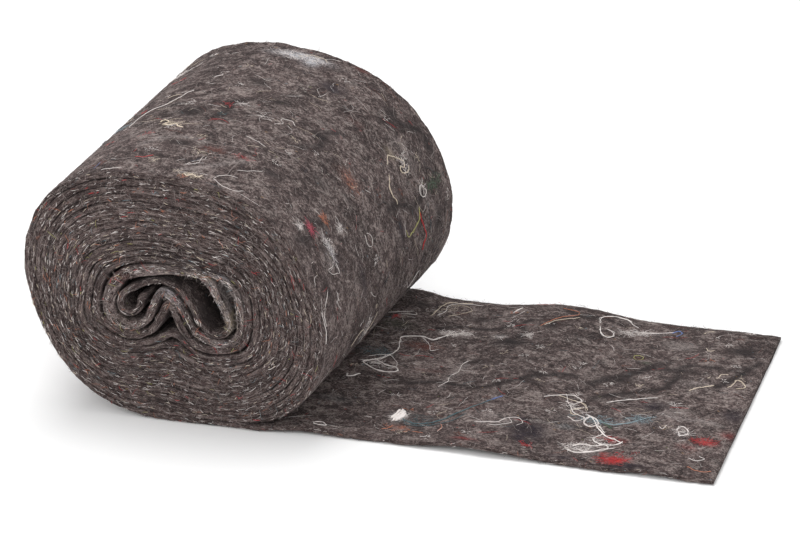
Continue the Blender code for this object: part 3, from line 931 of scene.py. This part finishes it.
# Threads that lie on the felt: colour, radius, how far they stray from their route, (s, y) waypoints.
THREADS = (
    # on the roll
    ("white", 0.17, 0.8, ((-213, -29), (-211, -20), (-214, -7), (-220, -1), (-225, 7), (-227, 16),
        (-230, 21))),
    ("cream", 0.30, 0.3, ((-230, -30), (-231, -27), (-234, -29), (-233, -33), (-236, -34), (-239, -32),
        (-241, -35), (-244, -36))),
    ("cream", 0.28, 0.3, ((-266, -92), (-268, -94), (-270, -91), (-273, -93), (-275, -90))),
    ("white", 0.13, 0.8, ((-254, -98), (-259, -90), (-263, -80), (-267, -72), (-269, -67))),
    ("white", 0.12, 0.8, ((-257, -96), (-260, -84), (-267, -76), (-266, -66), (-271, -60))),
    ("red", 0.16, 0.4, ((-236, -80), (-240, -79), (-244, -76))),
    ("blue", 0.11, 0.4, ((-220, -94), (-219, -87), (-220, -81))),
    ("white", 0.12, 0.4, ((-275, -32), (-281, -33), (-287, -36))),
    ("white", 0.14, 0.4, ((-280, -90), (-286, -94), (-292, -94), (-296, -90))),
    ("white", 0.12, 0.4, ((-280, -90), (-283, -82), (-289, -80))),
    ("white", 0.14, 0.4, ((-225, -97), (-230, -96), (-235, -95))),
    ("white", 0.12, 0.5, ((-263, -92), (-270, -89), (-277, -87))),
    ("white", 0.12, 0.5, ((-286, -73), (-291, -68), (-295, -62))),
    ("navy", 0.20, 0.3, ((-263, -77), (-265, -74), (-266, -71))),
    ("grey", 0.14, 0.6, ((-280, -88), (-283, -80), (-283, -68), (-284, -58))),
    ("cream", 0.22, 0.3, ((-336, 35), (-334, 38), (-333, 42), (-336, 47), (-339, 51), (-341, 53), (-343, 50),
        (-341, 47), (-344, 45), (-346, 52), (-344, 56))),
    ("cream", 0.22, 0.3, ((-340, 30), (-342, 28), (-345, 24), (-349, 23), (-352, 25), (-354, 24))),
    ("white", 0.20, 0.2, ((-357, 61), (-360, 64), (-362, 61), (-361, 57), (-358, 56), (-356, 59),
        (-358, 64))),
    ("white", 0.13, 0.6, ((-335, 62), (-338, 60), (-337, 56), (-341, 57), (-340, 61), (-337, 64),
        (-333, 63))),
    ("red", 0.24, 0.2, ((-366, 48), (-371, 49), (-375, 51), (-380, 54), (-383, 50), (-386, 48))),
    ("lime", 0.20, 0.2, ((-364, 49), (-369, 46), (-371, 39), (-372, 32), (-372, 27), (-368, 25))),
    ("white", 0.17, 0.3, ((-345, -68), (-352, -70), (-352, -77), (-356, -72), (-357, -66), (-352, -66))),
    ("white", 0.17, 0.5, ((-355, -80), (-360, -85), (-368, -95), (-374, -95))),
    ("white", 0.19, 0.4, ((-366, -97), (-371, -97), (-376, -96), (-382, -97))),
    ("white", 0.11, 0.6, ((-343, -90), (-344, -84), (-348, -78), (-351, -84), (-349, -92), (-353, -96))),
    ("cream", 0.13, 0.5, ((-320, -14), (-326, -9), (-330, -13), (-333, -7), (-329, -3))),
    ("white", 0.13, 0.4, ((-333, -5), (-336, -2), (-340, 2))),
    ("green", 0.16, 0.5, ((-360, 88), (-361, 80), (-359, 72), (-361, 66))),
    ("teal", 0.13, 0.6, ((-366, 62), (-371, 60), (-376, 62), (-380, 60))),
    ("grey", 0.16, 0.5, ((-306, 30), (-309, 38), (-305, 45), (-308, 52))),
    ("grey", 0.18, 0.3, ((-262, -20), (-264, -16), (-268, -17), (-267, -22), (-263, -24))),
    ("white", 0.14, 0.4, ((-281, -8), (-284, -4), (-282, 1), (-287, 3), (-290, -1))),
    ("white", 0.16, 0.4, ((-233, 40), (-236, 44), (-234, 48), (-238, 49))),
    # these two dark threads carry on the dark crease near s -352 across the strip, as painted shade along it
    ("dark", 0.16, 0.8, ((-352, 74), (-356, 82), (-360, 90), (-361, 98))),
    ("dark", 0.14, 0.8, ((-340, -2), (-346, 4), (-349, 12), (-354, 16))),
    ("grey", 0.15, 0.5, ((-350, 6), (-353, -2), (-358, -8), (-364, -10))),
    ("white", 0.14, 0.3, ((-353, -22), (-356, -18), (-360, -20), (-358, -25), (-353, -25))),
    ("cream", 0.16, 0.5, ((-262, 86), (-267, 91), (-273, 92), (-277, 88))),
    # round the left side and under, and at the back
    ("white", 0.18, 0.6, ((-180, -60), (-172, -50), (-160, -54), (-150, -40), (-138, -44))),
    ("cream", 0.22, 0.4, ((-120, 40), (-112, 48), (-104, 44), (-100, 52), (-108, 58))),
    ("red", 0.20, 0.3, ((-90, -70), (-82, -66), (-78, -58), (-84, -52))),
    ("white", 0.15, 0.7, ((-205, 60), (-195, 68), (-186, 60), (-178, 70), (-168, 72))),
    ("teal", 0.16, 0.5, ((-160, 10), (-150, 4), (-142, 12), (-130, 8))),
    ("grey", 0.18, 0.6, ((-140, -85), (-128, -78), (-120, -86), (-108, -80))),
    ("white", 0.17, 0.6, ((-70, 10), (-60, 20), (-50, 14), (-40, 24))),
    ("cream", 0.18, 0.6, ((-402, -50), (-398, -38), (-404, -26), (-396, -16))),
    ("white", 0.15, 0.6, ((-396, 30), (-404, 40), (-398, 52), (-406, 60))),
    # on the loose end; the first four lie side by side as one scrap
    ("white", 0.9, 0.3, ((64, -73), (65, -68), (65.5, -62))),
    ("white", 0.9, 0.3, ((65.3, -76), (66.2, -69), (66.7, -61))),
    ("white", 0.9, 0.3, ((66.6, -76), (67.4, -70), (67.9, -63))),
    ("white", 0.8, 0.3, ((67.8, -74), (68.6, -70), (69.2, -66))),
    ("white", 0.24, 0.25, ((40, 20), (39, 25), (38, 30), (42, 34), (48, 36), (54, 33), (57, 37), (60, 42))),
    ("white", 0.17, 0.3, ((48, 35), (52, 30), (55, 25), (57, 19), (61, 21))),
    ("white", 0.26, 0.25, ((40, 20), (41, 14), (40, 7), (37, -1), (33, -6), (30, -9), (33, -13), (39, -16),
        (45, -16), (49, -13), (47, -9), (42, -8), (37, -5), (34, -3))),
    ("white", 0.15, 0.5, ((30, -2), (34, 2), (40, 4), (44, -1), (47, -6), (44, -12))),
    ("white", 0.26, 0.2, ((27, -27), (28, -30), (31, -29), (33, -25))),
    ("cream", 0.20, 0.5, ((44, 62), (44, 72), (45, 81), (47, 88), (53, 90), (60, 92))),
    ("white", 0.16, 0.6, ((46, 66), (49, 75), (48, 84), (56, 90), (66, 91))),
    ("cream", 0.14, 0.5, ((52, 68), (58, 74), (62, 80), (57, 86), (50, 84))),
    ("white", 0.15, 0.4, ((22, 60), (28, 62), (34, 66), (36, 63), (28, 59))),
    ("white", 0.24, 0.2, ((85, 79), (86, 84), (88, 89))),
    ("white", 0.15, 0.4, ((74, -29), (77, -20), (76, -13), (79, -6), (78, 1), (80, 9))),
    ("teal", 0.24, 0.4, ((68, -70), (71, -73), (76, -76), (83, -75), (89, -69), (95, -58), (101, -49),
        (106, -42))),
    ("teal", 0.16, 0.6, ((69, -71), (73, -77), (82, -78), (92, -72), (98, -60))),
    ("blue", 0.22, 0.3, ((104, -44), (107, -40), (109, -36))),
    ("orange", 0.17, 0.4, ((63, -87), (66, -84), (67, -80))),
    ("orange", 0.17, 0.3, ((90, -84), (91, -79), (89, -75))),
    ("orange", 0.14, 0.4, ((74, -88), (78, -86), (84, -88))),
    ("white", 0.22, 0.3, ((30, -92), (33, -95), (37, -94), (35, -90), (31, -91))),
    ("white", 0.16, 0.4, ((104, -70), (110, -69), (115, -67), (118, -62), (122, -59), (126, -63),
        (124, -68))),
    ("white", 0.14, 0.4, ((112, -72), (117, -70), (121, -65), (119, -60))),
    ("orange", 0.17, 0.25, ((104, 60), (106, 65), (109, 71), (114, 77), (119, 81), (118, 86), (113, 88),
        (110, 90))),
    ("cream", 0.18, 0.3, ((106, 62), (110, 69), (116, 74), (121, 78))),
    ("white", 0.24, 0.25, ((132, 76), (131, 82), (133, 88), (137, 92), (143, 92), (147, 88))),
    ("white", 0.19, 0.3, ((139, 92), (145, 90), (148, 84), (152, 80))),
    ("white", 0.24, 0.2, ((133, 72), (135, 65), (139, 60), (142, 63), (141, 68), (137, 71))),
    ("blue", 0.26, 0.15, ((170, 78), (173, 82), (175, 79), (173, 74))),
    ("white", 0.20, 0.3, ((154, 74), (160, 75), (166, 77), (171, 80))),
    ("lime", 0.18, 0.2, ((158, 42), (161, 43), (163, 40), (161, 37), (158, 39), (158, 42))),
    ("white", 0.20, 0.3, ((128, -29), (133, -25), (137, -22), (142, -21), (146, -25), (144, -30),
        (139, -29))),
    ("cream", 0.20, 0.3, ((134, -24), (141, -26), (147, -28), (151, -34), (150, -40), (146, -43), (144, -38),
        (149, -33))),
    ("white", 0.17, 0.4, ((137, -20), (141, -31), (148, -37), (154, -41), (159, -48), (156, -54))),
    ("white", 0.22, 0.25, ((142, -33), (146, -41), (152, -45), (149, -50), (144, -46))),
    ("white", 0.30, 0.2, ((152, -41), (157, -44), (160, -50), (157, -55), (153, -50), (155, -43), (161, -55),
        (166, -63), (172, -67), (176, -70))),
    ("white", 0.26, 0.25, ((160, -52), (165, -60), (162, -68), (166, -74), (173, -73), (176, -68))),
    ("white", 0.22, 0.4, ((154, -80), (158, -76), (164, -77), (168, -74), (171, -77), (167, -82), (161, -84),
        (156, -81))),
    ("white", 0.22, 0.4, ((152, -84), (157, -87), (163, -85), (168, -80), (174, -76))),
    ("white", 0.20, 0.3, ((158, -23), (163, -19), (168, -16), (175, -12), (181, -10))),
    ("sky", 0.20, 0.6, ((150, -40), (158, -46), (166, -49), (174, -44), (182, -36))),
    ("green", 0.20, 0.3, ((160, -46), (164, -50), (167, -54))),
    ("cream", 0.22, 0.3, ((199, 20), (201, 24), (204, 23), (205, 28), (208, 30))),
    ("cream", 0.22, 0.3, ((194, 2), (197, 7), (200, 9), (204, 13))),
    ("cream", 0.20, 0.3, ((211, 13), (213, 18), (214, 24), (217, 21), (219, 16), (215, 13))),
    ("white", 0.26, 0.25, ((199, -51), (200, -55), (203, -52), (202, -46), (199, -44), (198, -49))),
    ("white", 0.18, 0.2, ((189, -46), (191, -49), (192, -44))),
    ("orange", 0.18, 0.3, ((210, -89), (214, -91), (219, -92), (222, -90))),
    ("white", 0.16, 0.4, ((209, -78), (213, -80), (216, -77), (213, -74))),
    ("cream", 0.18, 0.3, ((191, 62), (193, 58), (196, 60))),
    ("cream", 0.20, 0.3, ((186, 82), (188, 86), (191, 88))),
)  # fmt: skip

# Tufts of loose fibre: colour, s, y, reach along s, reach along y, number of fibres.
TUFTS = (
    ("white", 62, 45, 6, 3, 70), ("white", 67, 46, 4, 2, 30), ("white", 149, 71, 5, 3, 45),
    ("white", 155, 74, 5, 2, 40), ("white", 66.5, -69, 3, 4, 80), ("white", 157, -80, 7, 4, 80),
    ("white", 166, -70, 5, 5, 45), ("red", 176, -91, 8, 5, 90), ("red", 213, -57, 6, 3, 50),
    ("red", 170, -66, 3, 2, 20), ("red", 134, -88, 2, 1.5, 16), ("grey", 178, 61, 7, 4, 70),
    ("sky", 158, -46, 12, 4, 60), ("sky", 178, -39, 7, 4, 60), ("teal", 32, 6, 8, 4, 50),
    ("white", 35, -8, 5, 3, 40), ("white", 201, -50, 3, 3, 26), ("white", 145, -36, 6, 6, 40),
    ("teal", 78, -74, 7, 3, 40), ("grey", 78, -2, 3, 10, 50), ("orange", 70, -84, 6, 3, 16),
    ("rust", 52, 23, 8, 4, 50), ("cream", 50, 80, 6, 9, 26), ("white", 101, 47, 2, 1.5, 26),
    ("white", -263, 87, 13, 5, 120), ("white", -344, -66, 8, 2.5, 50), ("cream", -236, -32, 5, 3, 40),
    ("cream", -270, -92, 4, 2, 40), ("pink", -331, -72, 1.8, 1.8, 45), ("orange", -332, -56, 1.5, 1.8, 30),
    ("white", -341, -46, 1.2, 2.6, 14), ("white", -326, -80, 1.2, 2.2, 14), ("orange", -328, -10, 6, 5, 18),
    ("white", -341, 52, 5, 4, 40), ("red", -253, 2, 5, 1.5, 8), ("red", -283, -57, 4, 2, 7),
    ("sky", -205, -22, 3, 2, 20), ("white", -240, -70, 1.2, 1.2, 12), ("cream", -246, -81, 2, 2, 20),
    ("cream", -262, -63, 2.5, 2, 18), ("rust", -269, -58, 5, 3, 30), ("white", -234, 0, 3, 2, 12),
    ("white", -258, 6, 1.5, 1.5, 12), ("red", -229, -46, 2, 1.5, 8), ("white", -273, -3, 3, 2, 12),
    ("rust", -219, -88, 3, 3, 12), ("grey", -238, -50, 10, 5, 60), ("grey", -340, 62, 7, 6, 60),
    ("green", -360, 78, 2, 10, 40), ("white", -357, 60, 2.5, 3, 22), ("white", -180, 30, 6, 4, 50),
    ("white", -95, -35, 6, 5, 50), ("red", -150, -60, 6, 3, 40), ("sky", -165, 88, 7, 4, 40),
    ("white", -400, -30, 7, 4, 40), ("cream", -110, 50, 5, 4, 40), ("orange", -108, 84, 5, 3, 30),
    ("white", -205, 64, 5, 3, 40),
)  # fmt: skip

for colour_name, radius, wander, waypoints in THREADS:
    laid = len(strands[colour_name])
    lay(colour_name, radius, waypoints, lift=radius * 0.7, wander=wander * 1.3 + 0.2, seed=laid)
    if radius >= TWO_PLY_RADIUS:
        looser = wander * 1.3 + 0.9
        lay(colour_name, radius * 0.6, waypoints, lift=radius * 0.9, wander=looser, seed=laid + 41)
for row in TUFTS:
    tuft(*row)


def chosen(kinds, shares):
    """One of the kinds, by its share."""
    return kinds[rng.choice(len(kinds), p=shares / shares.sum())]


def loose_fibres(start, end, count):
    """Fine fibres and short threads, thrown over the side that shows."""
    kinds = ("grey", "brown", "dark", "white", "cream", "rust", "navy", "teal", "red")
    shares = np.array((0.40, 0.24, 0.16, 0.075, 0.03, 0.03, 0.02, 0.015, 0.015))
    for _ in range(count):
        kind = chosen(kinds, shares)
        thick = rng.uniform() < 0.03
        wandering(
            kind, 0.13 if thick else rng.uniform(0.05, 0.085), rng.uniform(start, end), rng.uniform(-99, 99),
            rng.uniform(0, 2 * math.pi), rng.uniform(5, 16), 0.30, rng.uniform(-0.04, 0.22), 1.5,
        )  # fmt: skip


def edge_fibres(start, end, side_of, count, bright):
    """Short fibre ends along the layers of the cut edge."""
    kinds = ("white", "grey", "cream", "brown", "dark", "orange", "red", "sky", "lime", "teal", "rust")
    shares = np.array((0.27, 0.24, 0.09, 0.15, 0.13, 0.025, 0.020, 0.016, 0.016, 0.013, 0.03))
    n = 5
    s0 = rng.uniform(start, end, count)
    long = rng.uniform(1.0, 5.0, count) * rng.uniform(0.4, 1.0, count)
    rise = rng.uniform(-0.9, 0.9, count)
    across = rng.uniform(0, 1, count) < 0.35
    lean = rng.normal(0, np.where(across, 0.9, 0.2))
    out = rng.uniform(-0.05, 0.35, count)
    pick = rng.choice(len(kinds), count, p=shares / shares.sum())
    thin = rng.uniform(0.06, 0.13, count) * np.where(rng.uniform(0, 1, count) < 0.1, 1.5, 1.0)
    t = np.linspace(0, 1, n)
    s = (s0[:, None] + long[:, None] * t).ravel()
    s = np.clip(s, S_START, S_END)
    reach = np.where(across, 2.4, 1.0)[:, None]
    curl = np.where(across, 0.5, 0.1)[:, None] * np.sin(t * 5.0 + rise[:, None] * 9.0)
    h = np.clip(rise[:, None] + lean[:, None] * (t - 0.5) * 2 + curl, -reach, reach).ravel()
    y = side_of * (HALF_WIDTH + edge_reach(s, side_of) + 0.15 + np.repeat(out + 0.25 * across, n))
    point, normal = place(s, y)
    height = thickness(s, width_share(y)) / 2
    points = (point + normal * (h * height)[:, None]).reshape(count, n, 3)
    points[:, :, 2] = np.maximum(points[:, :, 2], 0.15)
    for k in range(count):
        kind = kinds[pick[k]]
        if across[k] and kind in ("white", "cream"):
            kind = "grey"
        strands[kind].append((points[k], thin[k] * bright * (0.7 if across[k] else 1.0)))


def fringe_fibres(start, end, side_of, count):
    """Fine hairs that stand out from the cut edge and the outline."""
    for _ in range(count):
        s0 = rng.uniform(start, end)
        n = 4
        t = np.linspace(0, 1, n)
        s = np.clip(s0 + rng.normal(0, 1.6) * t, S_START, S_END)
        y = side_of * (HALF_WIDTH - 0.6 - drawn_in(s, side_of) + rng.uniform(0.9, 2.4) * t)
        point, normal = place(s, y)
        lift = rng.uniform(-0.9, 0.9) + rng.normal(0, 0.5) * t
        p = point + normal * (thickness(s, np.clip(width_share(y), 0, 1)) / 2 * lift)[:, None]
        p[:, 2] = np.maximum(p[:, 2], 0.1)
        strands[("grey", "brown", "brown", "grey", "dark")[rng.integers(5)]].append((p, 0.05))


def noils(start, end, count):
    """Small knots of fibre, as recycled felt is full of."""
    kinds = ("white", "cream", "grey", "rust", "navy", "red", "orange", "teal", "dark")
    shares = np.array((0.22, 0.16, 0.26, 0.08, 0.09, 0.03, 0.03, 0.04, 0.09))
    for _ in range(count):
        tuft(
            chosen(kinds, shares), rng.uniform(start, end), rng.uniform(-97, 97), rng.uniform(0.5, 1.7),
            rng.uniform(0.5, 1.7), int(rng.integers(6, 13)), 0.09, 0.03, (1.8, 3.6), 0.6,
        )  # fmt: skip


loose_fibres(COVER_START + 20, -25.0, 2600)
loose_fibres(14.0, S_END - 2.0, 1500)
edge_fibres(S_START, -1.0, -1, 4200, 1.0)
edge_fibres(S_START + 120, S_START + 340, -1, 420, 1.0)
edge_fibres(S_START + 98, S_START + 135, -1, 150, 1.3)
edge_fibres(S_START + 236, S_START + 250, -1, 40, 1.3)
edge_fibres(S_START + 300, S_START + 326, -1, 50, 1.3)
noils(COVER_START + 10, -30.0, 90)
noils(16.0, S_END - 4.0, 75)
edge_fibres(S_START, -1.0, 1, 2600, 1.0)
edge_fibres(0.0, S_END - 1.0, -1, 110, 0.9)
edge_fibres(0.0, S_END - 1.0, 1, 110, 0.9)
fringe_fibres(COVER_START, S_END, -1, 500)
fringe_fibres(COVER_START, S_END, 1, 500)

felt = felt_material()
inner_marks = [row for row in marks if row[0] < COVER_START - 30]
turns = sweep("felt_turns", S_START, COVER_START, 1.5, 1, 1, 0.0, inner_marks)
cover = sweep("felt_outer_turn", COVER_START, 0.0, FINE_SPACING, SHOWN_ROWS, HIDDEN_ROWS, 1.0, marks)
loose = sweep("felt_loose_end", 0.0, S_END, FINE_SPACING, HIDDEN_ROWS, SHOWN_ROWS, 1.0, marks)
for piece in (turns, cover, loose):
    piece.data.materials.append(felt)
    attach(piece, "root")
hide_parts("wound_roll")
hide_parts("loose_end")

for colour_name in COLOURS:
    if strands[colour_name]:
        thread = strand_object(colour_name, plain_material("thread_" + colour_name, COLOURS[colour_name]))
        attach(thread, "root")
